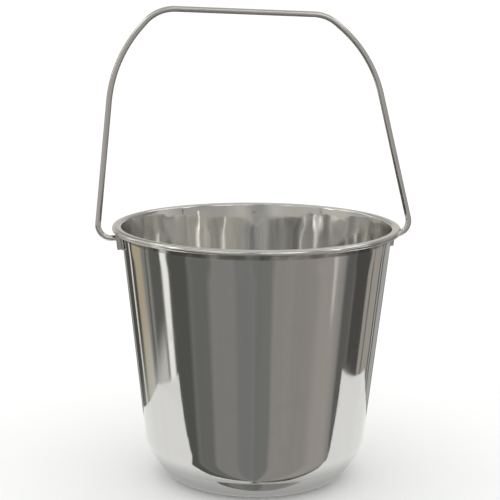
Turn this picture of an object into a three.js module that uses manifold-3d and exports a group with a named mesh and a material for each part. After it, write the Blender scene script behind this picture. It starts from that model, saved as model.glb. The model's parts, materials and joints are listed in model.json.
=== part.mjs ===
// Stainless steel milking pail: a deep-drawn, tapered body with a rolled rim and a stepped
// base, two pressed ears welded to the wall under the rim, and one bent-wire bail whose ends
// turn in the ears. Millimetres, +Z up, +X towards the right ear. The origin is on the pail's
// axis, in the plane that the pail stands on.

import * as THREE from "three";
import { mergeVertices } from "three/addons/utils/BufferGeometryUtils.js";
import Module from "manifold-3d";

const wasm = await Module();
wasm.setup();

// ---- driving dimensions ----

const HEIGHT = 268; // standing plane to the top of the rolled rim
const RIM_OUTER_RADIUS = 150;
const SHEET = 0.8; // wall thickness all over
const WALL_TAPER = degrees(6.4); // the wall's lean away from vertical

// Facets: round the body, and along a tight, an ordinary or a long bend
const SIDES = 60;
const TIGHT_STEPS = 2;
const BEND_STEPS = 5;
const LONG_STEPS = 8;

// Stepped base
const PANEL_RADIUS = 68; // raised middle of the base
const PANEL_RISE = 2;
const PANEL_STEP_RADIUS = 3;
const PANEL_STEP_ANGLE = degrees(35);
const FOOT_LOW_RADIUS = 27.2; // from the standing ring up
const FOOT_LOW_ANGLE = degrees(60);
const FOOT_SIDE_RADIUS = 38; // on up to the crease
const FOOT_SIDE_ANGLE = degrees(12.5);
const CREASE_RADIUS = 1.5;
const CREASE_ANGLE = degrees(60); // turn from the foot's side out under the belly
const LEDGE_RADIUS = 2.5; // small bend that carries the belly over the crease
const LEDGE_ANGLE = degrees(36);
const BELLY_RADIUS = 36; // big bend between the ledge and the wall

// Rolled rim
const FLARE_LENGTH = 8; // top stretch of the wall that eases outward
const FLARE_ANGLE = degrees(1.5);
const LIP_RADIUS = 2;
const CROWN_RADIUS = 16;
const CROWN_ANGLE = degrees(19);
const ROLL_RADIUS = 2.4;
const ROLL_ANGLE = degrees(180);
const ROLL_RETURN = 3.8; // free edge of the sheet, turned back under the rim

// Ears
const PIVOT_DEPTH = 12.4; // top of the rim down to the bail's pin line
const EAR_FACE_RADIUS = 146; // pail's axis to the ear's outer face
const EAR_SHEET = 1.8;
const EAR_LENGTH = 35;
const EAR_BRIDGE_WIDTH = 17; // outside width of the raised middle
const EAR_ABOVE_PIVOT = 6;
const EAR_BELOW_PIVOT = 10.7;
const EAR_BEND_RADIUS = 1.9; // middle of the sheet
const EAR_CORNER_RADIUS = 4;
const EAR_HOLE_DIAMETER = 7.2;
const HOLE_FACETS = 20;
const WELD_GAP = 0.3; // room kept between separate solids that touch

// Bail
const WIRE_DIAMETER = 6;
const WIRE_FACETS = 12;
const BAIL_HEIGHT = 231.2; // pin line to the middle of the grip, wire centre
const GRIP_SHIFT = -13.7; // the hand-bent grip sits a little to the left
const GRIP_TILT = degrees(1.9); // and drops a little to the right
const GRIP_HALF_LENGTH = 70.6;
const SHOULDER_RADIUS = 39.3;
const SHOULDER_ANGLE_RIGHT = degrees(38.1);
const SHOULDER_ANGLE_LEFT = degrees(50.3);
const SHOULDER_STRAIGHT = 6.6;
const BOW_RADIUS = 131.6; // long easy bend between a shoulder and its leg
const BOW_ANGLE = degrees(36);
const HOOK_RADIUS = 13.9; // bend that turns a leg in to its ear
const PIN_END_RADIUS = 141.4; // pail's axis to the cut end of the wire

// ---- dimensions that follow ----

const HALF_SHEET = SHEET / 2;
const HALF_EAR_SHEET = EAR_SHEET / 2;
const PIVOT_Z = HEIGHT - PIVOT_DEPTH;

function degrees(angle) {
  return (angle * Math.PI) / 180;
}

// ---- paths made of straights and bends ----

/** A flat path laid down stretch by stretch. It keeps a point and a heading for each station. */
class BentPath {
  constructor(x, y, heading) {
    this.stations = [{ x, y, heading }];
    this.marks = {};
  }

  get end() {
    return this.stations[this.stations.length - 1];
  }

  straight(length) {
    const { x, y, heading } = this.end;
    this.stations.push({
      x: x + length * Math.cos(heading),
      y: y + length * Math.sin(heading),
      heading,
    });
    return this;
  }

  /** A bend of the given radius. A positive turn goes to the left, a negative one to the right. */
  bend(radius, turn, steps) {
    const { x, y, heading } = this.end;
    const side = Math.sign(turn);
    const centreX = x - side * radius * Math.sin(heading);
    const centreY = y + side * radius * Math.cos(heading);
    for (let step = 1; step <= steps; step += 1) {
      const angle = heading + (turn * step) / steps;
      this.stations.push({
        x: centreX + side * radius * Math.sin(angle),
        y: centreY - side * radius * Math.cos(angle),
        heading: angle,
      });
    }
    return this;
  }

  /** Remembers where the path has got to under the given name. */
  mark(name) {
    this.marks[name] = this.end;
    return this;
  }

  /** The path's points, moved sideways to the left by the given distance. */
  offset(distance) {
    return this.stations.map(
      ({ x, y, heading }) =>
        new THREE.Vector2(x - distance * Math.sin(heading), y + distance * Math.cos(heading)),
    );
  }
}

/** The closed outline of a sheet of the given thickness whose middle follows the path. */
function sheetOutline(path, thickness) {
  const rightSide = path.offset(-thickness / 2);
  const leftSide = path.offset(thickness / 2);
  return [...rightSide, ...leftSide.reverse()];
}

// ---- pail body ----

/** Half section of the body, from the middle of the base out, up the wall and round the rim. */
function bodyPath(ringWidth, wallLength) {
  const crownSide = CROWN_ANGLE / 2;
  const wallHeading = Math.PI / 2 - WALL_TAPER;
  const bellyStart = FOOT_LOW_ANGLE + FOOT_SIDE_ANGLE - CREASE_ANGLE + LEDGE_ANGLE;
  return new BentPath(0, PANEL_RISE + HALF_SHEET, 0)
    .straight(PANEL_RADIUS)
    .bend(PANEL_STEP_RADIUS, -PANEL_STEP_ANGLE, TIGHT_STEPS)
    .straight(panelStepLength())
    .bend(PANEL_STEP_RADIUS, PANEL_STEP_ANGLE, TIGHT_STEPS)
    .straight(ringWidth)
    .bend(FOOT_LOW_RADIUS - HALF_SHEET, FOOT_LOW_ANGLE, BEND_STEPS)
    .bend(FOOT_SIDE_RADIUS - HALF_SHEET, FOOT_SIDE_ANGLE, TIGHT_STEPS)
    .bend(CREASE_RADIUS, -CREASE_ANGLE, TIGHT_STEPS)
    .bend(LEDGE_RADIUS, LEDGE_ANGLE, TIGHT_STEPS)
    .bend(BELLY_RADIUS - HALF_SHEET, wallHeading - bellyStart, BEND_STEPS)
    .mark("wallFoot")
    .straight(wallLength)
    .bend(FLARE_LENGTH / FLARE_ANGLE, -FLARE_ANGLE, TIGHT_STEPS)
    .bend(LIP_RADIUS, crownSide - (wallHeading - FLARE_ANGLE), BEND_STEPS)
    .bend(CROWN_RADIUS, -CROWN_ANGLE, TIGHT_STEPS)
    .bend(ROLL_RADIUS, -ROLL_ANGLE, LONG_STEPS)
    .straight(ROLL_RETURN);
}

/** Slope between the two small bends that raise the base's middle by PANEL_RISE. */
function panelStepLength() {
  const risePerBend = PANEL_STEP_RADIUS * (1 - Math.cos(PANEL_STEP_ANGLE));
  return (PANEL_RISE - 2 * risePerBend) / Math.sin(PANEL_STEP_ANGLE);
}

/** The body's path with its ring and wall long enough to reach the rim's radius and the height. */
function fittedBodyPath() {
  const trial = bodyPath(0, 0);
  const reach = Math.max(...trial.offset(HALF_SHEET).map((point) => point.x));
  const rise = Math.max(...trial.offset(HALF_SHEET).map((point) => point.y));
  const wallLength = (HEIGHT - rise) / Math.cos(WALL_TAPER);
  const ringWidth = RIM_OUTER_RADIUS - reach - wallLength * Math.sin(WALL_TAPER);
  return bodyPath(ringWidth, wallLength);
}

/** The pail's outside radius at a height on its straight wall. */
function wallRadiusAt(height) {
  const { wallFoot } = fittedBodyPath().marks;
  const outside = HALF_SHEET / Math.cos(WALL_TAPER);
  return wallFoot.x + (height - wallFoot.y) * Math.tan(WALL_TAPER) + outside;
}

function makePailBody() {
  const geometry = new THREE.LatheGeometry(sheetOutline(fittedBodyPath(), SHEET), SIDES);
  geometry.rotateX(Math.PI / 2);
  return geometry;
}

// ---- ears ----

/** Plan of half an ear: from the middle of its face, back to the wall and along its flange. */
function halfEarPath(wallRadius) {
  const flangeRadius = wallRadius + WELD_GAP + HALF_EAR_SHEET;
  const sideY = EAR_BRIDGE_WIDTH / 2 - HALF_EAR_SHEET;
  const faceX = EAR_FACE_RADIUS - HALF_EAR_SHEET;
  const bendCentreY = sideY + EAR_BEND_RADIUS;
  const bendCentreX = Math.sqrt((flangeRadius + EAR_BEND_RADIUS) ** 2 - bendCentreY ** 2);
  const flangeStart = Math.atan2(bendCentreY, bendCentreX);
  const flangeEnd = EAR_LENGTH / 2 / flangeRadius;
  return new BentPath(faceX, 0, Math.PI / 2)
    .straight(sideY - EAR_BEND_RADIUS)
    .bend(EAR_BEND_RADIUS, Math.PI / 2, BEND_STEPS)
    .straight(faceX - EAR_BEND_RADIUS - bendCentreX)
    .bend(EAR_BEND_RADIUS, flangeStart - Math.PI / 2, BEND_STEPS)
    .bend(flangeRadius, flangeEnd - flangeStart, TIGHT_STEPS);
}

/** An ear on the +X side: a strap pressed to a hat shape, leaning with the wall. */
function makeEar() {
  const wallRadius = wallRadiusAt(PIVOT_Z);
  const half = halfEarPath(wallRadius);
  const mirrored = (point) => new THREE.Vector2(point.x, -point.y);
  const outer = half.offset(-HALF_EAR_SHEET);
  const inner = half.offset(HALF_EAR_SHEET).reverse();
  const outline = [
    ...outer,
    ...inner,
    ...inner.map(mirrored).reverse().slice(1),
    ...outer.map(mirrored).reverse().slice(0, -1),
  ];
  const earHeight = EAR_ABOVE_PIVOT + EAR_BELOW_PIVOT;
  const strap = new THREE.ExtrudeGeometry(new THREE.Shape(outline), {
    depth: earHeight,
    bevelEnabled: false,
  });
  strap.translate(0, 0, -EAR_BELOW_PIVOT);

  const blank = new THREE.ExtrudeGeometry(roundedBlank(EAR_LENGTH, earHeight), {
    depth: EAR_FACE_RADIUS,
    bevelEnabled: false,
    curveSegments: TIGHT_STEPS,
  });
  blank.rotateX(Math.PI / 2);
  blank.rotateZ(Math.PI / 2);
  blank.translate(0, 0, (EAR_ABOVE_PIVOT - EAR_BELOW_PIVOT) / 2);

  const leaning = intersect(strap, blank);
  leaning.translate(-wallRadius, 0, 0);
  leaning.rotateY(WALL_TAPER);
  leaning.translate(wallRadius, 0, PIVOT_Z);

  const holeRadius = EAR_HOLE_DIAMETER / 2;
  const hole = new THREE.CylinderGeometry(holeRadius, holeRadius, EAR_LENGTH, HOLE_FACETS);
  hole.rotateZ(Math.PI / 2);
  hole.translate(EAR_FACE_RADIUS, 0, PIVOT_Z);
  return subtract(leaning, hole);
}

/** The flat blank that an ear is pressed from: a rectangle with rounded corners. */
function roundedBlank(length, height) {
  const x = length / 2;
  const y = height / 2;
  const corner = EAR_CORNER_RADIUS;
  const shape = new THREE.Shape();
  shape.absarc(x - corner, y - corner, corner, 0, Math.PI / 2);
  shape.absarc(corner - x, y - corner, corner, Math.PI / 2, Math.PI);
  shape.absarc(corner - x, corner - y, corner, Math.PI, 1.5 * Math.PI);
  shape.absarc(x - corner, corner - y, corner, 1.5 * Math.PI, 2 * Math.PI);
  return shape;
}

// ---- bail ----

/** One side of the bail in its own plane, from the middle of the grip to the end of its pin. */
function halfBailPath(shift, tilt, shoulderAngle) {
  const path = new BentPath(shift, BAIL_HEIGHT, -tilt)
    .straight(GRIP_HALF_LENGTH)
    .bend(SHOULDER_RADIUS, -shoulderAngle, LONG_STEPS)
    .straight(SHOULDER_STRAIGHT)
    .bend(BOW_RADIUS, -BOW_ANGLE, LONG_STEPS);
  const legHeading = path.end.heading;
  const hookDrop = HOOK_RADIUS * (1 + Math.cos(legHeading));
  path
    .straight((path.end.y - hookDrop) / Math.sin(-legHeading))
    .bend(HOOK_RADIUS, -Math.PI - legHeading, LONG_STEPS);
  return path.straight(path.end.x - PIN_END_RADIUS);
}

/** The bail's centre line as a curve that a section is swept along, one step for each station. */
class BailCurve extends THREE.Curve {
  constructor() {
    super();
    const right = halfBailPath(GRIP_SHIFT, GRIP_TILT, SHOULDER_ANGLE_RIGHT).stations;
    const left = halfBailPath(-GRIP_SHIFT, -GRIP_TILT, SHOULDER_ANGLE_LEFT).stations;
    const mirrored = ({ x, y, heading }) => ({ x: -x, y, heading: -heading });
    this.stations = [...left.map(mirrored).reverse().slice(0, -1), ...right];
  }

  get steps() {
    return this.stations.length - 1;
  }

  stationAt(fraction) {
    return this.stations[Math.round(fraction * this.steps)];
  }

  getPointAt(fraction) {
    const { x, y } = this.stationAt(fraction);
    return new THREE.Vector3(x, 0, PIVOT_Z + y);
  }

  getTangentAt(fraction) {
    const { heading } = this.stationAt(fraction);
    return new THREE.Vector3(Math.cos(heading), 0, Math.sin(heading));
  }
}

function makeBail() {
  const section = new THREE.Shape();
  section.absarc(0, 0, WIRE_DIAMETER / 2, 0, 2 * Math.PI);
  const curve = new BailCurve();
  return new THREE.ExtrudeGeometry(section, {
    steps: curve.steps,
    curveSegments: WIRE_FACETS / 2,
    extrudePath: curve,
  });
}

// ---- joins and cuts ----

function toManifold(geometry) {
  const bare = geometry.clone();
  bare.deleteAttribute("normal");
  bare.deleteAttribute("uv");
  const merged = mergeVertices(bare);
  const vertProperties = new Float32Array(merged.attributes.position.array);
  const triVerts = new Uint32Array(merged.index.array);
  return new wasm.Manifold(new wasm.Mesh({ numProp: 3, vertProperties, triVerts }));
}

function toGeometry(manifold) {
  const mesh = manifold.getMesh();
  const geometry = new THREE.BufferGeometry();
  geometry.setAttribute("position", new THREE.BufferAttribute(mesh.vertProperties, mesh.numProp));
  geometry.setIndex(new THREE.BufferAttribute(mesh.triVerts, 1));
  return geometry;
}

function intersect(geometry, other) {
  return toGeometry(toManifold(geometry).intersect(toManifold(other)));
}

function subtract(geometry, cutter) {
  return toGeometry(toManifold(geometry).subtract(toManifold(cutter)));
}

// ---- assembly ----

const polishedSteel = { color: 0xc9c8c4, roughness: 0.12, metalness: 1 };
const pressedSteel = { color: 0xb4b3af, roughness: 0.3, metalness: 1 };
const drawnWire = { color: 0xa9a8a5, roughness: 0.25, metalness: 1 };

function addPart(group, name, geometry, finish) {
  const mesh = new THREE.Mesh(geometry, new THREE.MeshStandardMaterial(finish));
  mesh.name = name;
  group.add(mesh);
  return mesh;
}

const pail = new THREE.Group();
addPart(pail, "pail_body", makePailBody(), polishedSteel);
addPart(pail, "right_ear", makeEar(), pressedSteel);
addPart(pail, "left_ear", makeEar(), pressedSteel).rotation.z = Math.PI;
addPart(pail, "bail", makeBail(), drawnWire);

export default pail;
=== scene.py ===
import json
import math

import bpy
from mathutils import Matrix, Vector


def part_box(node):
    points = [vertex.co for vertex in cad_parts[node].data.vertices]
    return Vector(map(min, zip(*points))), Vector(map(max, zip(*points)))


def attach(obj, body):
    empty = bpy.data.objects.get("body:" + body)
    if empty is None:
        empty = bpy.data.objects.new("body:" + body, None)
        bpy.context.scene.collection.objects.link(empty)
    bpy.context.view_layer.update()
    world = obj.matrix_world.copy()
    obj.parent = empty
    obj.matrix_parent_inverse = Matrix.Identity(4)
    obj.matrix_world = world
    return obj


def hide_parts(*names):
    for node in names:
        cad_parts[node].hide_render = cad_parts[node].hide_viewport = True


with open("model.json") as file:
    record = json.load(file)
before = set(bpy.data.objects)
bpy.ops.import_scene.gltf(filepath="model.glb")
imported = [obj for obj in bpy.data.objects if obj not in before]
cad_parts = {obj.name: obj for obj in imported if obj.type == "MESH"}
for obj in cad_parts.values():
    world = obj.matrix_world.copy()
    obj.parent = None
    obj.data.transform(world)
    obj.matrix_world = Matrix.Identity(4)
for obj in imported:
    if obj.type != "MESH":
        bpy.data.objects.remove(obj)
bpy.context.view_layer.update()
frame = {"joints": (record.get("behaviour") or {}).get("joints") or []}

MM = 0.001
FULL_TURN = 2 * math.pi
UP = Vector((0, 0, 1))

# ---- places that the frame gives ----

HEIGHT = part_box("pail_body")[1].z
RIM_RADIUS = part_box("pail_body")[1].x
PIVOT = Vector(frame["joints"][0]["pos_m"])
WIRE_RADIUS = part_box("bail")[1].y

# ---- the body's section, the same shape as the CAD's ----

SHEET = 0.8 * MM
WALL_TAPER = math.radians(6.4)
PANEL_RADIUS = 68 * MM
PANEL_RISE = 2 * MM
PANEL_STEP_RADIUS = 3 * MM
PANEL_STEP_ANGLE = math.radians(35)
FOOT_LOW_RADIUS = 27.2 * MM  # from the standing ring up
FOOT_LOW_ANGLE = math.radians(60)
FOOT_SIDE_RADIUS = 38 * MM  # on up to the crease
FOOT_SIDE_ANGLE = math.radians(12.5)
CREASE_RADIUS = 1.5 * MM
CREASE_ANGLE = math.radians(60)  # turn from the foot's side out under the belly
LEDGE_RADIUS = 2.5 * MM  # small bend that carries the belly over the crease
LEDGE_ANGLE = math.radians(36)
BELLY_RADIUS = 36 * MM  # big bend between the ledge and the wall
FLARE_LENGTH = 8 * MM
FLARE_ANGLE = math.radians(1.5)
LIP_RADIUS = 2 * MM
CROWN_RADIUS = 16 * MM
CROWN_ANGLE = math.radians(19)
ROLL_RADIUS = 2.4 * MM
ROLL_ANGLE = math.radians(180)
ROLL_RETURN = 3.8 * MM  # of the free edge, tucked in under the roll

SIDES = 288  # round the body
ARC_STEP = math.radians(7)  # along its bends
STRAIGHT_STEP = 4 * MM  # along its straights

# A drawn wall is never quite round: long shallow waves, as (waves round the pail, height, phase)
WALL_WAVES = (
    (5, 0.08 * MM, 0.4),
    (9, 0.05 * MM, 2.1),
    (17, 0.018 * MM, 0.9),
    (31, 0.008 * MM, 4.0),
)
WAVE_START = 45 * MM
WAVE_FADE = 40 * MM
# Turning the rim over puckers the wall just under it, again as (waves, height, phase)
RIM_PUCKERS = (
    (13, 0.110 * MM, 0.3),
    (29, 0.080 * MM, 1.7),
    (53, 0.040 * MM, 5.0),
)
PUCKER_REACH = 26 * MM  # down from the roll
ROLL_BOTTOM = 262 * MM


class BentPath:
    """A flat path laid down stretch by stretch, with a point and a heading for each station."""

    def __init__(self, x, y, heading):
        self.stations = [(x, y, heading)]

    def straight(self, length, step=None):
        x, y, heading = self.stations[-1]
        count = max(1, math.ceil(length / step)) if step else 1
        for i in range(1, count + 1):
            run = length * i / count
            point = (x + run * math.cos(heading), y + run * math.sin(heading))
            self.stations.append((*point, heading))
        return self

    def bend(self, radius, turn, step=ARC_STEP):
        """A bend of the given radius. A positive turn goes to the left, a negative one right."""
        x, y, heading = self.stations[-1]
        side = math.copysign(1, turn)
        centre_x = x - side * radius * math.sin(heading)
        centre_y = y + side * radius * math.cos(heading)
        count = max(2, math.ceil(abs(turn) / step))
        for i in range(1, count + 1):
            angle = heading + turn * i / count
            point = (
                centre_x + side * radius * math.sin(angle),
                centre_y - side * radius * math.cos(angle),
            )
            self.stations.append((*point, angle))
        return self

    def offset(self, distance):
        """The path's points, moved sideways to the left by the given distance."""
        return [
            (x - distance * math.sin(heading), y + distance * math.cos(heading))
            for x, y, heading in self.stations
        ]


def body_path(ring_width, wall_length):
    """Half section of the body, from the middle of the base out, up the wall, round the rim."""
    crown_side = CROWN_ANGLE / 2
    wall_heading = math.pi / 2 - WALL_TAPER
    belly_start = FOOT_LOW_ANGLE + FOOT_SIDE_ANGLE - CREASE_ANGLE + LEDGE_ANGLE
    rise_per_bend = PANEL_STEP_RADIUS * (1 - math.cos(PANEL_STEP_ANGLE))
    panel_step_length = (PANEL_RISE - 2 * rise_per_bend) / math.sin(PANEL_STEP_ANGLE)
    path = BentPath(0, PANEL_RISE + SHEET / 2, 0)
    path.straight(PANEL_RADIUS, STRAIGHT_STEP)
    path.bend(PANEL_STEP_RADIUS, -PANEL_STEP_ANGLE)
    path.straight(panel_step_length)
    path.bend(PANEL_STEP_RADIUS, PANEL_STEP_ANGLE)
    path.straight(ring_width)
    path.bend(FOOT_LOW_RADIUS - SHEET / 2, FOOT_LOW_ANGLE, ARC_STEP / 2)
    path.bend(FOOT_SIDE_RADIUS - SHEET / 2, FOOT_SIDE_ANGLE, ARC_STEP / 2)
    path.bend(CREASE_RADIUS, -CREASE_ANGLE)
    path.bend(LEDGE_RADIUS, LEDGE_ANGLE)
    path.bend(BELLY_RADIUS - SHEET / 2, wall_heading - belly_start, ARC_STEP / 2)
    path.straight(wall_length, STRAIGHT_STEP)
    path.bend(FLARE_LENGTH / FLARE_ANGLE, -FLARE_ANGLE)
    path.bend(LIP_RADIUS, crown_side - (wall_heading - FLARE_ANGLE))
    path.bend(CROWN_RADIUS, -CROWN_ANGLE, ARC_STEP / 2)
    path.bend(ROLL_RADIUS, -ROLL_ANGLE)
    path.straight(ROLL_RETURN)
    return path


def fitted_body_path():
    """The body's path with its ring and wall long enough to reach the rim and the height."""
    trial = body_path(0, 0).offset(SHEET / 2)
    reach = max(x for x, _ in trial)
    rise = max(y for _, y in trial)
    wall_length = (HEIGHT - rise) / math.cos(WALL_TAPER)
    ring_width = RIM_RADIUS - reach - wall_length * math.sin(WALL_TAPER)
    return body_path(ring_width, wall_length)


def smooth_step(value, start, end):
    """Eases from 0 at the start to 1 at the end."""
    share = min(1, max(0, (value - start) / (end - start)))
    return share * share * (3 - 2 * share)


def waves_at(angle, waves):
    return sum(size * math.cos(count * angle + phase) for count, size, phase in waves)


def wall_wave(angle, height):
    """How far the wall stands out of true at a place on it."""
    wave_in = smooth_step(height, WAVE_START, WAVE_START + WAVE_FADE)
    wave_out = 1 - smooth_step(height, HEIGHT - WAVE_FADE, HEIGHT - WAVE_FADE / 3)
    pucker_in = smooth_step(height, ROLL_BOTTOM - PUCKER_REACH, ROLL_BOTTOM - PUCKER_REACH / 3)
    pucker_out = 1 - smooth_step(height, ROLL_BOTTOM - PUCKER_REACH / 8, ROLL_BOTTOM)
    wave = waves_at(angle, WALL_WAVES) * wave_in * wave_out
    return wave + waves_at(angle, RIM_PUCKERS) * pucker_in * pucker_out


# ---- meshes ----


def new_piece(name, vertices, faces, body, replaced, material):
    """A smooth-shaded piece that rides on a CAD body and stands for its CAD nodes."""
    mesh = bpy.data.meshes.new(name)
    mesh.from_pydata([tuple(v) for v in vertices], [], faces)
    mesh.validate()
    mesh.shade_smooth()
    mesh.materials.append(material)
    piece = bpy.data.objects.new(name, mesh)
    bpy.context.scene.collection.objects.link(piece)
    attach(piece, body)
    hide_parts(replaced)
    return piece


def ring_faces(start, next_start, count):
    """Faces between two closed rings of vertices, each with count vertices."""
    faces = []
    for i in range(count):
        j = (i + 1) % count
        faces.append((start + i, start + j, next_start + j, next_start + i))
    return faces


def body_outline():
    """Closed outline of the sheet's section, open only on the axis, with a rounded free edge."""
    path = fitted_body_path()
    outside = path.offset(-SHEET / 2)
    inside = path.offset(SHEET / 2)
    x, y, heading = path.stations[-1]
    edge_steps = 6
    edge = []
    for i in range(1, edge_steps):
        angle = heading - math.pi / 2 + math.pi * i / edge_steps
        reach = SHEET / 2
        edge.append((x + reach * math.cos(angle), y + reach * math.sin(angle)))
    return outside + edge + inside[::-1]


def make_pail_body(material):
    """The sheet's outline turned about the axis, one ring of vertices for each point of it."""
    outline = body_outline()
    vertices = [Vector((0, 0, outline[0][1]))]
    faces = []
    rings = outline[1:-1]
    for radius, height in rings:
        for side in range(SIDES):
            angle = FULL_TURN * side / SIDES
            out = radius + wall_wave(angle, height)
            vertices.append(Vector((out * math.cos(angle), out * math.sin(angle), height)))
    for row in range(len(rings) - 1):
        faces += ring_faces(1 + row * SIDES, 1 + (row + 1) * SIDES, SIDES)
    vertices.append(Vector((0, 0, outline[-1][1])))
    top = len(vertices) - 1
    last = 1 + (len(rings) - 1) * SIDES
    for side in range(SIDES):
        after = (side + 1) % SIDES
        faces.append((0, 1 + after, 1 + side))
        faces.append((top, last + side, last + after))
    return new_piece("pail_shell", vertices, faces, "pail", "pail_body", material)


# ---- ears ----

EAR_SHEET = 1.8 * MM
EAR_FACE_RADIUS = 146 * MM
EAR_LENGTH = 35 * MM
EAR_BRIDGE_WIDTH = 17 * MM
EAR_ABOVE_PIVOT = 6 * MM
EAR_BELOW_PIVOT = 10.7 * MM
EAR_BEND_RADIUS = 1.9 * MM
EAR_CORNER_RADIUS = 4 * MM
EAR_HOLE_RADIUS = 3.6 * MM
EAR_EDGE_ROUND = 0.45 * MM
EAR_GRID = 0.7 * MM
WELD_GAP = 0.3 * MM  # between flange and wall
WELD_RADIUS = 2.3 * MM
WELD_DEPTH = 0.28 * MM
WELD_Y = 13.2 * MM
WELD_HEIGHTS = (1.4 * MM, -6.2 * MM)  # from the pivot


def wall_radius_at(height):
    """The pail's outside radius at a height on its straight wall."""
    wall_heading = math.pi / 2 - WALL_TAPER
    on_wall = [s for s in fitted_body_path().stations if abs(s[2] - wall_heading) < 1e-6]
    x, y, _ = on_wall[0]
    return x + (height - y) * math.tan(WALL_TAPER) + SHEET / 2 / math.cos(WALL_TAPER)


def half_ear_path(wall_radius):
    """Plan of half an ear: from the middle of its face, back to the wall, along its flange."""
    half_sheet = EAR_SHEET / 2
    flange_radius = wall_radius + WELD_GAP + half_sheet
    side_y = EAR_BRIDGE_WIDTH / 2 - half_sheet
    face_x = EAR_FACE_RADIUS - half_sheet
    centre_y = side_y + EAR_BEND_RADIUS
    centre_x = math.sqrt((flange_radius + EAR_BEND_RADIUS) ** 2 - centre_y**2)
    flange_start = math.atan2(centre_y, centre_x)
    flange_end = EAR_LENGTH / 2 / flange_radius
    path = BentPath(face_x, 0, math.pi / 2)
    path.straight(side_y - EAR_BEND_RADIUS, EAR_GRID)
    path.bend(EAR_BEND_RADIUS, math.pi / 2, ARC_STEP * 1.5)
    path.straight(face_x - EAR_BEND_RADIUS - centre_x, EAR_GRID)
    path.bend(EAR_BEND_RADIUS, flange_start - math.pi / 2, ARC_STEP * 1.5)
    path.bend(flange_radius, flange_end - flange_start, EAR_GRID / flange_radius)
    return path


class EarSheet:
    """The ear's middle surface: run along the strap and height across it give a point."""

    def __init__(self):
        self.wall_radius = wall_radius_at(PIVOT.z)
        self.stations = half_ear_path(self.wall_radius).stations
        self.runs = [0.0]
        for before, after in zip(self.stations, self.stations[1:]):
            self.runs.append(self.runs[-1] + math.dist(before[:2], after[:2]))
        self.lean = Matrix.Rotation(WALL_TAPER, 4, "Y")

    @property
    def half_run(self):
        return self.runs[-1]

    def plan(self, run):
        """Plan point and outward direction at a signed run from the middle of the face."""
        along = min(abs(run), self.half_run)
        i = 1
        while i < len(self.runs) - 1 and self.runs[i] < along:
            i += 1
        share = (along - self.runs[i - 1]) / (self.runs[i] - self.runs[i - 1])
        a, b = self.stations[i - 1], self.stations[i]
        x, y, heading = (p + (q - p) * share for p, q in zip(a, b))
        side = 1 if run >= 0 else -1
        beyond = abs(run) - along
        x += beyond * math.cos(heading)
        y += beyond * math.sin(heading)
        out = Vector((math.sin(heading), -side * math.cos(heading), 0))
        return Vector((x, side * y, 0)), out

    def point(self, run, height, out):
        """The 3D point at a run and height, moved off the middle surface by out."""
        place, outward = self.plan(run)
        flat = place + outward * (out - self.weld_dent(place, height, out)) + UP * height
        leaning = self.lean @ (flat - Vector((self.wall_radius, 0, 0)))
        return leaning + Vector((self.wall_radius, 0, PIVOT.z))

    def weld_dent(self, place, height, out):
        """Depth of the electrode's dish in the outer face of a flange."""
        if out <= 0:
            return 0
        away = min(math.hypot(abs(place.y) - WELD_Y, height - z) for z in WELD_HEIGHTS)
        rim = smooth_step(away, WELD_RADIUS * 0.55, WELD_RADIUS)
        return WELD_DEPTH * (1 - rim)


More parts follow.
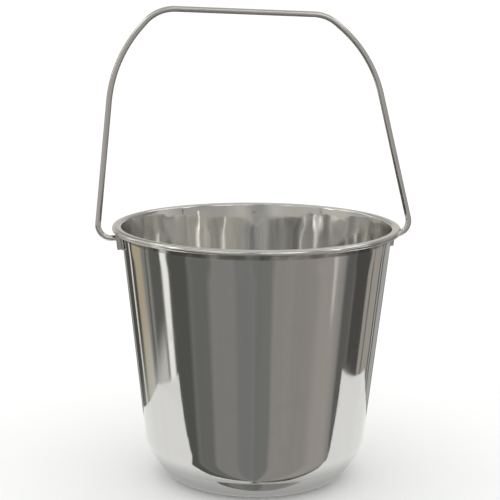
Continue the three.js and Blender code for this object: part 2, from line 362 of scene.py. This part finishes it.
def ear_flat_mesh(sheet):
    """The flat blank as a mesh of (run, height) points: its points, faces, border and hole.

    The blank is drawn in by the edge's round all along, so that the round can be added.
    """
    inset = EAR_EDGE_ROUND
    half = sheet.half_run - inset
    low = -EAR_BELOW_PIVOT + inset
    high = EAR_ABOVE_PIVOT - inset
    corner = EAR_CORNER_RADIUS - inset
    hole = EAR_HOLE_RADIUS + inset
    patch = EAR_BRIDGE_WIDTH / 2 - EAR_SHEET / 2 - EAR_BEND_RADIUS
    corner_steps = 8
    runs = []
    count = math.ceil((half - corner - patch) / EAR_GRID)
    for i in range(count + 1):
        runs.append(patch + (half - corner - patch) * i / count)
    for i in range(1, corner_steps + 1):
        runs.append(half - corner + corner * math.sin(math.pi / 2 * i / corner_steps))
    rows = math.ceil((high - low) / EAR_GRID)

    def cut_back(run):
        """How much the rounded corner takes off the strap's height at a run."""
        past = max(0, run - (half - corner))
        return corner - math.sqrt(max(0, corner**2 - past**2))

    # the strap on both sides of the square patch round the hole
    points, faces = [], []
    columns = {}
    for side in (-1, 1):
        for i, run in enumerate(runs):
            shrink = cut_back(run)
            columns[side, i] = []
            for row in range(rows + 1):
                height = low + shrink + (high - low - 2 * shrink) * row / rows
                columns[side, i].append(len(points))
                points.append((side * run, height))
        for i in range(len(runs) - 1):
            a, b = columns[side, i], columns[side, i + 1]
            for row in range(rows):
                quad = (a[row], b[row], b[row + 1], a[row + 1])
                faces.append(quad if side > 0 else quad[::-1])

    # the square patch, in rings from its edge to the hole
    across = max(2, 2 * math.ceil(patch / EAR_GRID))
    bottom, top = [], []
    for i in range(1, across):
        run = -patch + 2 * patch * i / across
        bottom.append(len(points))
        points.append((run, low))
        top.append(len(points))
        points.append((run, high))
    left, right = columns[-1, 0], columns[1, 0]
    square_loop = [*right, *top[::-1], *left[::-1], *bottom]
    size = len(square_loop)
    ring_steps = 6
    crowding = 0.8  # under 1, so that the rings lie closer together towards the hole
    previous = square_loop
    for step in range(1, ring_steps + 1):
        share = (step / ring_steps) ** crowding
        ring = []
        for index in square_loop:
            run, height = points[index]
            angle = math.atan2(height, run)
            goal = (hole * math.cos(angle), hole * math.sin(angle))
            ring.append(len(points))
            points.append((run + (goal[0] - run) * share, height + (goal[1] - height) * share))
        for i in range(size):
            j = (i + 1) % size
            faces.append((previous[i], previous[j], ring[j], ring[i]))
        previous = ring
    # the blank's border, counter-clockwise from the patch's lower right corner
    last = len(runs) - 1
    border = [columns[1, i][0] for i in range(last)]
    border += columns[1, last]
    border += [columns[1, i][-1] for i in range(last - 1, -1, -1)]
    border += top[::-1]
    border += [columns[-1, i][-1] for i in range(last)]
    border += columns[-1, last][::-1]
    border += [columns[-1, i][0] for i in range(last - 1, -1, -1)]
    border += bottom
    return points, faces, border, previous[::-1]


def loop_normals(points, loop):
    """Outward direction in the blank's plane at each point of a counter-clockwise loop."""
    normals = []
    size = len(loop)
    for i in range(size):
        before, after = points[loop[i - 1]], points[loop[(i + 1) % size]]
        along = Vector((after[0] - before[0], after[1] - before[1])).normalized()
        normals.append(Vector((along.y, -along.x)))
    return normals


def make_ear(name, replaced, turn, material):
    """One ear from its flat blank: both faces, and rounded edges along its border and hole."""
    sheet = EarSheet()
    points, flat_faces, border, hole = ear_flat_mesh(sheet)
    half_sheet = EAR_SHEET / 2
    vertices = [sheet.point(run, height, half_sheet) for run, height in points]
    vertices += [sheet.point(run, height, -half_sheet) for run, height in points]
    back = len(points)
    faces = list(flat_faces)
    faces += [tuple(back + v for v in face[::-1]) for face in flat_faces]
    round_steps = 4
    quarter = math.pi / 2 / round_steps
    angles = [quarter * i for i in range(1, round_steps + 1)]
    profile = [(math.sin(a), half_sheet - EAR_EDGE_ROUND * (1 - math.cos(a))) for a in angles]
    profile += [(out, -off) for out, off in profile[::-1]]
    for loop in (border, hole):
        normals = loop_normals(points, loop)
        previous = loop
        for reach, off in profile:
            start = len(vertices)
            for index, normal in zip(loop, normals):
                run = points[index][0] + normal.x * reach * EAR_EDGE_ROUND
                height = points[index][1] + normal.y * reach * EAR_EDGE_ROUND
                vertices.append(sheet.point(run, height, off))
            ring = list(range(start, len(vertices)))
            for i in range(len(loop)):
                j = (i + 1) % len(loop)
                faces.append((previous[j], previous[i], ring[i], ring[j]))
            previous = ring
        for i in range(len(loop)):
            j = (i + 1) % len(loop)
            faces.append((previous[j], previous[i], back + loop[i], back + loop[j]))
    turned = Matrix.Rotation(turn, 4, "Z")
    vertices = [turned @ v for v in vertices]
    return new_piece(name, vertices, faces, "pail", replaced, material)


# ---- bail ----

BAIL_HEIGHT = 231.2 * MM  # from the pivot to the middle of the grip
GRIP_SHIFT = -13.7 * MM
GRIP_TILT = math.radians(1.9)
GRIP_HALF_LENGTH = 70.6 * MM
SHOULDER_RADIUS = 39.3 * MM
SHOULDER_ANGLE_RIGHT = math.radians(38.1)
SHOULDER_ANGLE_LEFT = math.radians(50.33)
SHOULDER_STRAIGHT = 6.6 * MM
BOW_RADIUS = 131.6 * MM
BOW_ANGLE = math.radians(36)
HOOK_RADIUS = 13.9 * MM
PIN_END_RADIUS = 141.4 * MM  # from the pail's axis to the wire's cut end
WIRE_SIDES = 24
WIRE_END_ROUND = 0.5 * MM
WIRE_STEP = 5 * MM
WIRE_ARC_STEP = math.radians(4)


def half_bail_path(shift, tilt, shoulder_angle):
    """One side of the bail in its own plane, from mid-grip to the cut end of its pin."""
    path = BentPath(shift, BAIL_HEIGHT, -tilt)
    path.straight(GRIP_HALF_LENGTH, WIRE_STEP)
    path.bend(SHOULDER_RADIUS, -shoulder_angle, WIRE_ARC_STEP)
    path.straight(SHOULDER_STRAIGHT, WIRE_STEP)
    path.bend(BOW_RADIUS, -BOW_ANGLE, WIRE_ARC_STEP / 2)
    _, y, heading = path.stations[-1]
    hook_drop = HOOK_RADIUS * (1 + math.cos(heading))
    path.straight((y - hook_drop) / math.sin(-heading), WIRE_STEP)
    path.bend(HOOK_RADIUS, -math.pi - heading, WIRE_ARC_STEP)
    x = path.stations[-1][0]
    path.straight(x - PIN_END_RADIUS, WIRE_STEP)
    return path


def rounded_start(line):
    """The wire's line with its first cut end rounded off."""
    x, y, heading, radius = line[0]
    x2, y2 = line[1][:2]
    length = math.hypot(x2 - x, y2 - y)
    toward = ((x2 - x) / length, (y2 - y) / length)
    rounded = []
    steps = 4
    for i in range(steps + 1):
        angle = math.pi / 2 * i / steps
        inward = WIRE_END_ROUND * (1 - math.sin(angle))
        ring = radius - WIRE_END_ROUND * (1 - math.cos(math.pi / 2 - angle))
        rounded.append((x + toward[0] * inward, y + toward[1] * inward, heading, ring))
    return rounded + line[1:]


def make_bail(material):
    """One wire from pin to pin: the left side is built as a right one and mirrored."""
    right = half_bail_path(GRIP_SHIFT, GRIP_TILT, SHOULDER_ANGLE_RIGHT).stations
    left = half_bail_path(-GRIP_SHIFT, -GRIP_TILT, SHOULDER_ANGLE_LEFT).stations
    mirrored = [(-x, y, -heading) for x, y, heading in left[:0:-1]]
    line = [(x, y, h, WIRE_RADIUS) for x, y, h in mirrored + right]
    line = rounded_start(line)
    line = rounded_start(line[::-1])[::-1]
    vertices, faces = [], []
    for x, y, heading, radius in line:
        across = Vector((-math.sin(heading), 0, math.cos(heading)))
        centre = Vector((x, 0, PIVOT.z + y))
        for side in range(WIRE_SIDES):
            angle = FULL_TURN * side / WIRE_SIDES
            aside = across * math.cos(angle) + Vector((0, 1, 0)) * math.sin(angle)
            vertices.append(centre + aside * radius)
    for row in range(len(line) - 1):
        faces += ring_faces(row * WIRE_SIDES, (row + 1) * WIRE_SIDES, WIRE_SIDES)
    last = (len(line) - 1) * WIRE_SIDES
    faces.append(tuple(range(WIRE_SIDES))[::-1])
    faces.append(tuple(range(last, last + WIRE_SIDES)))
    return new_piece("bail_wire", vertices, faces, "bail", "bail", material)


# ---- materials ----


class Nodes:
    """Short calls for building a shader out of nodes."""

    def __init__(self, tree):
        self.tree = tree
        tree.nodes.clear()

    def add(self, kind, inputs=None, **settings):
        node = self.tree.nodes.new(kind)
        for name, value in settings.items():
            setattr(node, name, value)
        for name, value in (inputs or {}).items():
            self.give(node.inputs[name], value)
        return node

    def give(self, socket, value):
        if isinstance(value, bpy.types.NodeSocket):
            self.tree.links.new(value, socket)
        else:
            socket.default_value = value

    def math(self, operation, a, b=0.0):
        return self.add("ShaderNodeMath", {0: a, 1: b}, operation=operation).outputs[0]

    def chain(self, operation, values):
        total = values[0]
        for value in values[1:]:
            total = self.math(operation, total, value)
        return total

    def sum(self, *values):
        return self.chain("ADD", values)

    def product(self, *values):
        return self.chain("MULTIPLY", values)

    def length(self, x, y):
        return self.math("SQRT", self.sum(self.product(x, x), self.product(y, y)))

    def combine(self, x, y, z):
        return self.add("ShaderNodeCombineXYZ", {0: x, 1: y, 2: z}).outputs[0]

    def object_position(self):
        """The three parts of the object-space position."""
        place = self.add("ShaderNodeTexCoord").outputs["Object"]
        return self.add("ShaderNodeSeparateXYZ", {0: place}).outputs

    def noise(self, vector, scale=1.0, detail=2.0, roughness=0.5):
        inputs = {"Vector": vector, "Scale": scale, "Detail": detail, "Roughness": roughness}
        return self.add("ShaderNodeTexNoise", inputs).outputs["Fac"]

    def spread(self, value, low, high, to_low=0.0, to_high=1.0):
        """The value's range from low to high, eased on to the range from to_low to to_high."""
        inputs = {"Value": value, "From Min": low, "From Max": high}
        inputs |= {"To Min": to_low, "To Max": to_high}
        kind = "ShaderNodeMapRange"
        return self.add(kind, inputs, interpolation_type="SMOOTHSTEP").outputs["Result"]

    def between(self, value, low, high, soft):
        """1 where the value lies between low and high, and 0 elsewhere, with soft edges."""
        rise = self.spread(value, low - soft, low + soft)
        fall = self.spread(value, high - soft, high + soft, 1.0, 0.0)
        return self.product(rise, fall)

    def mix(self, share, a, b, kind="RGBA"):
        node = self.add("ShaderNodeMix", data_type=kind)
        self.give(node.inputs["Factor"], share)
        self.give(node.inputs["A"], a)
        self.give(node.inputs["B"], b)
        return node.outputs["Result"]

    def bump(self, height, distance, strength):
        inputs = {"Height": height, "Distance": distance, "Strength": strength}
        return self.add("ShaderNodeBump", inputs).outputs["Normal"]


def new_material(name, shader_kind, inputs=None):
    material = bpy.data.materials.new(name)
    material.use_nodes = True
    nodes = Nodes(material.node_tree)
    shader = nodes.add(shader_kind, inputs)
    output = nodes.add("ShaderNodeOutputMaterial")
    nodes.give(output.inputs["Surface"], shader.outputs[0])
    return material, nodes, shader


def new_metal(name):
    """A bare metal. Its colour, roughness and normal are still to be given."""
    return new_material(name, "ShaderNodeBsdfPrincipled", {"Metallic": 1.0})


# The wall in the corner under the roll is rougher, and its colour is painted darker there as the
# shade that the roll casts
ROLL_SHADE_LOW = 257 * MM
ROLL_SHADE_HIGH = 263.5 * MM
CREASE_HEIGHT = 21.1 * MM  # the foot below it is rougher, and its colour painted darker as the shade that it reflects

POLISHED_DARK = (0.66, 0.655, 0.64, 1)
POLISHED_PALE = (0.73, 0.725, 0.715, 1)
SMUDGED = (0.60, 0.59, 0.57, 1)
# painted shade for the wall under the roll
PAINTED_ROLL_SHADE = (0.30, 0.28, 0.25, 1)
# painted shade for the foot below the crease
PAINTED_FOOT_SHADE = (0.57, 0.565, 0.555, 1)
PRESSED_DARK = (0.47, 0.465, 0.455, 1)
PRESSED_PALE = (0.58, 0.575, 0.565, 1)
HEAT_TINT = (0.42, 0.33, 0.22, 1)
DRAWN_DARK = (0.56, 0.55, 0.54, 1)
DRAWN_PALE = (0.66, 0.65, 0.64, 1)
RUBBED = (0.74, 0.73, 0.72, 1)


def polished_steel():
    """Mirror-polished sheet with fine streaks up the wall and rings on the base."""
    material, nodes, shader = new_metal("polished_stainless")
    x, y, z = nodes.object_position()
    radius = nodes.math("MAXIMUM", nodes.length(x, y), MM / 3)  # above 0, since it divides
    round_x = nodes.math("DIVIDE", x, radius)
    round_y = nodes.math("DIVIDE", y, radius)

    def streaks(count, stretch, detail):
        """Noise drawn out up the wall, with about count streaks in each radian."""
        across_x, across_y = nodes.product(round_x, count), nodes.product(round_y, count)
        place = nodes.combine(across_x, across_y, nodes.product(z, stretch))
        return nodes.noise(place, detail=detail)

    def rings(count):
        """Noise drawn out round the axis, for the turned polish of the flat base."""
        return nodes.noise(nodes.combine(nodes.product(radius, count), 0.0, 0.0), detail=3.0)

    on_base = nodes.spread(radius, PANEL_RADIUS * 1.1, PANEL_RADIUS * 1.3, 1.0, 0.0)
    fine = streaks(count=150.0, stretch=6.0, detail=4.0)
    fine = nodes.mix(on_base, fine, rings(count=900.0), "FLOAT")
    broad = streaks(count=14.0, stretch=4.0, detail=2.0)
    smudge = nodes.noise(nodes.combine(x, y, z), scale=28.0, detail=3.0, roughness=0.6)

    # the outer face of the straight wall and the rim gets the best polish; the rest is duller
    leaning = nodes.product(z, math.tan(WALL_TAPER))
    middle_of_wall = nodes.sum(leaning, wall_radius_at(0) - SHEET / 2)
    on_outer_wall = nodes.math("GREATER_THAN", radius, middle_of_wall)
    elsewhere = nodes.math("SUBTRACT", 1.0, on_outer_wall)
    # the foot below the crease: rougher, and painted darker as shade
    on_foot = nodes.spread(z, CREASE_HEIGHT - MM, CREASE_HEIGHT + MM, 1.0, 0.0)
    # painted shade: a patchy dark band on the outer wall just under the roll, for the roll's
    # shade; the same band is made rougher
    from_low = nodes.spread(z, ROLL_SHADE_LOW - MM, ROLL_SHADE_LOW + MM)
    to_high = nodes.spread(z, ROLL_SHADE_HIGH - MM / 3, ROLL_SHADE_HIGH + MM / 3, 1.0, 0.0)
    patchy = streaks(count=9.0, stretch=30.0, detail=3.0)
    patchy = nodes.spread(patchy, 0.35, 0.6, 0.35, 1.0)
    dull_and_shaded_under_roll = nodes.product(from_low, to_high, patchy, on_outer_wall)

    roughness = nodes.sum(
        nodes.spread(fine, 0.35, 0.75, 0.035, 0.075),
        nodes.spread(broad, 0.4, 0.7, 0.0, 0.03),
        nodes.spread(smudge, 0.5, 0.75, 0.0, 0.04),
        nodes.product(dull_and_shaded_under_roll, 0.12),
        nodes.product(elsewhere, 0.012),
        nodes.product(on_foot, 0.02),
    )
    nodes.give(shader.inputs["Roughness"], roughness)
    colour = nodes.mix(broad, POLISHED_DARK, POLISHED_PALE)
    colour = nodes.mix(nodes.spread(smudge, 0.55, 0.8, 0.0, 0.4), colour, SMUDGED)
    # painted shade under the roll
    colour = nodes.mix(dull_and_shaded_under_roll, colour, PAINTED_ROLL_SHADE)
    # painted shade: the foot is darkened below the crease
    colour = nodes.mix(nodes.product(on_foot, 0.8), colour, PAINTED_FOOT_SHADE)
    nodes.give(shader.inputs["Base Color"], colour)
    relief = nodes.sum(nodes.product(broad, 3.0), fine)
    nodes.give(shader.inputs["Normal"], nodes.bump(relief, distance=0.02 * MM, strength=0.35))
    return material


def pressed_steel():
    """Satin sheet with rolling lines along the strap, a fine grain, and heat tint at the welds."""
    material, nodes, shader = new_metal("pressed_stainless")
    x, y, z = nodes.object_position()
    place = nodes.combine(x, y, z)
    along_strap = nodes.combine(x, nodes.product(y, 0.05), z)
    lines = nodes.noise(along_strap, scale=2600.0, detail=3.0)
    grain = nodes.noise(place, scale=1800.0, detail=2.0)
    patches = nodes.noise(place, scale=160.0, detail=2.0)
    nodes.give(shader.inputs["Roughness"], nodes.spread(patches, 0.3, 0.7, 0.24, 0.38))
    aside = nodes.math("SUBTRACT", nodes.math("ABSOLUTE", y), WELD_Y)
    tint = 0.0
    for height in WELD_HEIGHTS:
        above = nodes.math("SUBTRACT", z, PIVOT.z + height)
        away = nodes.length(aside, above)
        ring = nodes.spread(away, WELD_RADIUS * 0.7, WELD_RADIUS * 1.7, 0.55, 0.0)
        tint = nodes.math("MAXIMUM", tint, ring)
    colour = nodes.mix(lines, PRESSED_DARK, PRESSED_PALE)
    nodes.give(shader.inputs["Base Color"], nodes.mix(tint, colour, HEAT_TINT))
    relief = nodes.sum(lines, nodes.product(grain, 0.6))
    nodes.give(shader.inputs["Normal"], nodes.bump(relief, distance=0.03 * MM, strength=0.5))
    return material


def drawn_wire():
    """Satin wire with die lines along it and rubbed, brighter patches."""
    material, nodes, shader = new_metal("drawn_stainless_wire")
    x, y, z = nodes.object_position()
    along_wire = nodes.combine(nodes.product(x, 0.012), y, nodes.product(z, 0.012))
    lines = nodes.noise(along_wire, scale=2400.0, detail=3.0)
    rubbed = nodes.noise(nodes.combine(x, nodes.product(y, 4.0), z), scale=45.0, detail=3.0)
    roughness = nodes.sum(
        nodes.spread(lines, 0.35, 0.7, 0.10, 0.16),
        nodes.spread(rubbed, 0.45, 0.7, 0.0, 0.05),
    )
    nodes.give(shader.inputs["Roughness"], roughness)
    colour = nodes.mix(lines, DRAWN_DARK, DRAWN_PALE)
    colour = nodes.mix(nodes.spread(rubbed, 0.5, 0.75, 0.0, 0.5), colour, RUBBED)
    nodes.give(shader.inputs["Base Color"], colour)
    nodes.give(shader.inputs["Normal"], nodes.bump(lines, distance=0.02 * MM, strength=0.2))
    return material


# ---- camera ----

CAMERA_AZIMUTH = math.radians(-7.66)
CAMERA_DISTANCE = 1.5315  # level, from the pail's axis
CAMERA_HEIGHT = 0.5312
CAMERA_PITCH = math.radians(10.74)  # down
CAMERA_PAN = math.radians(-0.2452)  # to the right
CAMERA_ROLL = math.radians(0.508)
CAMERA_LENS = 107.45  # in millimetres, as the sensor's width is
SENSOR_WIDTH = 36.0


def make_camera():
    """The photo's camera, aimed from straight in front and then turned about the pail's axis."""
    data = bpy.data.cameras.new("camera")
    data.sensor_width = SENSOR_WIDTH
    data.lens = CAMERA_LENS
    data.clip_start = 0.05
    data.clip_end = 100
    camera = bpy.data.objects.new("camera", data)
    bpy.context.scene.collection.objects.link(camera)
    forward = Vector((0, 1, 0))
    forward.rotate(Matrix.Rotation(-CAMERA_PITCH, 3, "X"))
    forward.rotate(Matrix.Rotation(-CAMERA_PAN, 3, "Z"))
    right = forward.cross(UP).normalized()
    up = right.cross(forward)
    rolled_right = right * math.cos(CAMERA_ROLL) + up * math.sin(CAMERA_ROLL)
    rolled_up = up * math.cos(CAMERA_ROLL) - right * math.sin(CAMERA_ROLL)
    turned = Matrix((rolled_right, rolled_up, -forward)).transposed().to_4x4()
    place = Matrix.Translation((0, -CAMERA_DISTANCE, CAMERA_HEIGHT))
    camera.matrix_world = Matrix.Rotation(CAMERA_AZIMUTH, 4, "Z") @ place @ turned
    bpy.context.scene.camera = camera


# ---- studio: a pale floor, and a room that only the steel reflects ----

DAYLIGHT = 1.15  # strength of the even light that falls on the floor
BACKGROUND = (1.0, 1.0, 0.995, 1)
FLOOR_COLOUR = (0.92, 0.92, 0.915, 1)
FLOOR_REACH = 30
FLOOR_DROP = 0.2 * MM

# The white table top that only the steel sees, with the pail's own soft shade close to its foot
TABLE_WHITE = (0.86, 0.86, 0.855, 1)
TABLE_SHADED = (0.46, 0.46, 0.46, 1)
SHADE_START = 0.085  # from the pail's axis
SHADE_END = 0.15
TABLE_CORNERS = (  # as seen from the photo's camera: x to its right, y away from it
    (-0.36, -0.150),
    (-0.145, -0.128),
    (-0.11, -0.108),
    (0.0, -0.103),
    (0.10, -0.096),
    (0.13, -0.099),
    (0.40, -0.072),
    (0.37, 0.19),
    (-0.20, 0.19),
    (-0.36, 0.03),
)


def flat_plane(name, corners, z):
    """A level polygon that isn't part of the object."""
    mesh = bpy.data.meshes.new(name)
    mesh.from_pydata([(x, y, z) for x, y in corners], [], [tuple(range(len(corners)))])
    plane = bpy.data.objects.new(name, mesh)
    bpy.context.scene.collection.objects.link(plane)
    return plane


def make_floor():
    """The floor that the camera sees and the steel doesn't."""
    corners = [(x * FLOOR_REACH, y * FLOOR_REACH) for x, y in ((-1, -1), (1, -1), (1, 1), (-1, 1))]
    floor = flat_plane("pale_floor", corners, -FLOOR_DROP)
    material, _, _ = new_material("pale_floor", "ShaderNodeBsdfDiffuse", {"Color": FLOOR_COLOUR})
    floor.data.materials.append(material)
    floor.visible_glossy = False


def make_reflected_table():
    """The table top that the steel sees and the camera doesn't."""
    table = flat_plane("reflected_table", TABLE_CORNERS, -2 * FLOOR_DROP)
    material, nodes, shader = new_material("reflected_table", "ShaderNodeBsdfDiffuse")
    x, y, _ = nodes.object_position()
    lit = nodes.spread(nodes.length(x, y), SHADE_START, SHADE_END)
    nodes.give(shader.inputs["Color"], nodes.mix(lit, TABLE_SHADED, TABLE_WHITE))
    table.data.materials.append(material)
    table.matrix_world = Matrix.Rotation(CAMERA_AZIMUTH, 4, "Z")
    table.visible_camera = False
    table.visible_diffuse = False
    table.visible_shadow = False


# Tones of the room in three bands of height, as (from, to, edge's softness, colour). The angles go
# round from the photo's camera, which is at 0, positive to its right, in degrees. A later tone
# covers the earlier ones. The lowest band is what the wall reflects.
ROOM_BELOW = (
    (-200, 200, 1, (0.09, 0.09, 0.085)),
    (-165, 165, 3, (0.42, 0.41, 0.39)),
    (-84, 89, 2, (0.30, 0.297, 0.285)),
    (-84, -60, 5, (0.108, 0.108, 0.100)),
    (-60, -41, 4, (0.175, 0.175, 0.165)),
    (-41, -19, 4, (0.270, 0.267, 0.252)),
    (-19, -2, 3, (0.225, 0.232, 0.225)),
    (-2, 15, 3, (0.210, 0.212, 0.205)),
    (15, 36, 2.5, (0.328, 0.312, 0.300)),
    (36, 57, 4, (0.325, 0.305, 0.285)),
    (57, 80, 6, (0.400, 0.370, 0.340)),
    (85, 97, 2, (0.140, 0.135, 0.125)),
    (-91, -83, 1.2, (1.10, 1.10, 1.06)),
    (-107, -91, 2.5, (0.13, 0.13, 0.122)),
    (-119, -107, 4, (0.26, 0.26, 0.235)),
    (-112.5, -110.5, 0.8, (0.12, 0.12, 0.12)),
    (-132, -119, 3, (0.50, 0.43, 0.31)),
    (-158, -132, 2, (0.085, 0.085, 0.078)),
    (-142, -139, 1, (0.95, 0.93, 0.85)),
    (97, 117, 1.5, (0.088, 0.085, 0.080)),
    (117, 136, 2, (0.40, 0.38, 0.34)),
    (123, 125, 0.7, (0.16, 0.15, 0.13)),
    (137, 139.5, 0.7, (0.09, 0.09, 0.085)),
    (143, 145.5, 0.7, (0.09, 0.09, 0.085)),
)
ROOM_HALF_WAY = (
    (-200, 200, 1, (0.63, 0.61, 0.56)),
    (-60, -20, 10, (0.55, 0.535, 0.495)),
    (-11, 9, 7, (0.38, 0.375, 0.36)),
    (20, 80, 12, (0.45, 0.43, 0.41)),
    (-150, -90, 8, (0.50, 0.49, 0.46)),
    (100, 150, 8, (0.24, 0.235, 0.225)),
)
ROOM_ABOVE = (
    (-200, 200, 1, (0.62, 0.60, 0.545)),
    (50, 150, 14, (0.36, 0.355, 0.335)),
    (-200, -155, 8, (0.42, 0.415, 0.40)),
    (155, 200, 8, (0.42, 0.415, 0.40)),
    (-24, 2, 4, (0.40, 0.40, 0.39)),
    (8, 40, 4, (0.87, 0.84, 0.76)),
    (-74, -69, 1.2, (2.4, 2.35, 2.25)),
    (-124, -118, 1.5, (1.6, 1.57, 1.5)),
    (66, 70, 1.0, (2.0, 1.97, 1.88)),
    (96, 99, 0.8, (1.3, 1.27, 1.2)),
)
# Lamps stand round the ceiling, with gaps between them at these angles
CEILING_GAPS = ((-150, -118), (-72, -60), (-9, 7), (48, 66), (112, 139))
GAP_SOFTNESS = 4
LAMP = (1.80, 1.80, 1.74, 1)
GAP = (0.60, 0.60, 0.58, 1)
CEILING = (0.55, 0.55, 0.53, 1)
# Heights over which each band gives way to the next, in degrees above level
TO_HALF_WAY = (-13, -8)
TO_ABOVE = (9, 15)
TO_LAMPS = (36, 40)
TO_CEILING = (45, 50)
# Patches where the lowest band changes with height, as (from, to, edge's softness, heights over
# which the patch comes in, colour)
ROOM_PATCHES = (
    (-165, -116, 2, (-18.0, -23.5), (0.66, 0.65, 0.61)),
    (-116, -93, 2, (-21.5, -23.5), (0.66, 0.65, 0.61)),
    (72, 75, 1, (-24.0, -22.5), (0.66, 0.64, 0.61)),
    (-48, 58, 6, (-22.5, -18.5), (0.50, 0.49, 0.47)),
)


def room_tones(nodes, around, tones):
    """One band of the room: its first tone all round, and the others laid over it in turn."""
    colour = (*tones[0][3], 1)
    for low, high, soft, tone in tones[1:]:
        colour = nodes.mix(nodes.between(around, low, high, soft), colour, (*tone, 1))
    return colour


def room_directions(nodes):
    """The ray's angle round from the photo's camera and its height above level, in degrees."""
    direction = nodes.add("ShaderNodeTexCoord").outputs["Generated"]
    turn = {"Vector": direction, "Angle": -CAMERA_AZIMUTH}
    turned = nodes.add("ShaderNodeVectorRotate", turn, rotation_type="Z_AXIS").outputs[0]
    x, y, z = nodes.add("ShaderNodeSeparateXYZ", {0: turned}).outputs
    around = nodes.math("ARCTAN2", x, nodes.product(y, -1.0))
    height = nodes.math("ARCSINE", z)
    return nodes.product(around, 180 / math.pi), nodes.product(height, 180 / math.pi)


def streaked_light(nodes, around):
    """Upright streaks of stronger and weaker light, as a strength."""
    narrow = nodes.noise(nodes.combine(nodes.product(around, 0.32), 0.0, 0.0), detail=3.0)
    wide = nodes.noise(nodes.combine(nodes.product(around, 0.05), 3.0, 0.0), detail=1.0)
    narrow = nodes.spread(narrow, 0.3, 0.7, 0.3, 1.0)
    return nodes.sum(narrow, nodes.spread(wide, 0.35, 0.65, 0.0, 0.7))


def room_colour(nodes):
    """The room's colour in the direction of the ray, from the floor up to the ceiling."""
    around, height = room_directions(nodes)
    colour = room_tones(nodes, around, ROOM_BELOW)
    for low, high, soft, heights, tone in ROOM_PATCHES:
        patch = nodes.between(around, low, high, soft)
        patch = nodes.product(patch, nodes.spread(height, *heights))
        colour = nodes.mix(patch, colour, (*tone, 1))
    half_way = room_tones(nodes, around, ROOM_HALF_WAY)
    colour = nodes.mix(nodes.spread(height, *TO_HALF_WAY), colour, half_way)
    streaked = {0: room_tones(nodes, around, ROOM_ABOVE), "Scale": streaked_light(nodes, around)}
    above = nodes.add("ShaderNodeVectorMath", streaked, operation="SCALE").outputs[0]
    colour = nodes.mix(nodes.spread(height, *TO_ABOVE), colour, above)
    gaps = 0.0
    for low, high in CEILING_GAPS:
        gaps = nodes.math("MAXIMUM", gaps, nodes.between(around, low, high, GAP_SOFTNESS))
    colour = nodes.mix(nodes.spread(height, *TO_LAMPS), colour, nodes.mix(gaps, LAMP, GAP))
    return nodes.mix(nodes.spread(height, *TO_CEILING), colour, CEILING)


def make_world():
    """A pale background, even light for the floor, and a room for the steel to reflect."""
    world = bpy.data.worlds.new("studio")
    bpy.context.scene.world = world
    world.use_nodes = True
    world.cycles.sampling_method = "NONE"
    nodes = Nodes(world.node_tree)
    room = nodes.add("ShaderNodeBackground", {"Color": room_colour(nodes)})
    pale = nodes.add("ShaderNodeBackground", {"Color": BACKGROUND})
    dome = nodes.add("ShaderNodeBackground", {"Color": (1, 1, 1, 1), "Strength": DAYLIGHT})
    path = nodes.add("ShaderNodeLightPath").outputs
    lit = nodes.add("ShaderNodeMixShader")
    nodes.give(lit.inputs[0], path["Is Diffuse Ray"])
    nodes.give(lit.inputs[1], room.outputs[0])
    nodes.give(lit.inputs[2], dome.outputs[0])
    seen = nodes.add("ShaderNodeMixShader")
    nodes.give(seen.inputs[0], path["Is Camera Ray"])
    nodes.give(seen.inputs[1], lit.outputs[0])
    nodes.give(seen.inputs[2], pale.outputs[0])
    output = nodes.add("ShaderNodeOutputWorld")
    nodes.give(output.inputs["Surface"], seen.outputs[0])


make_camera()
make_world()
make_floor()
make_reflected_table()
scene = bpy.context.scene
scene.view_settings.view_transform = "Standard"
scene.cycles.max_bounces = 16  # the inside reflects itself many times over
scene.cycles.glossy_bounces = 12

make_pail_body(polished_steel())
ear_steel = pressed_steel()
make_ear("right_ear_strap", "right_ear", 0, ear_steel)
make_ear("left_ear_strap", "left_ear", math.pi, ear_steel)
make_bail(drawn_wire())
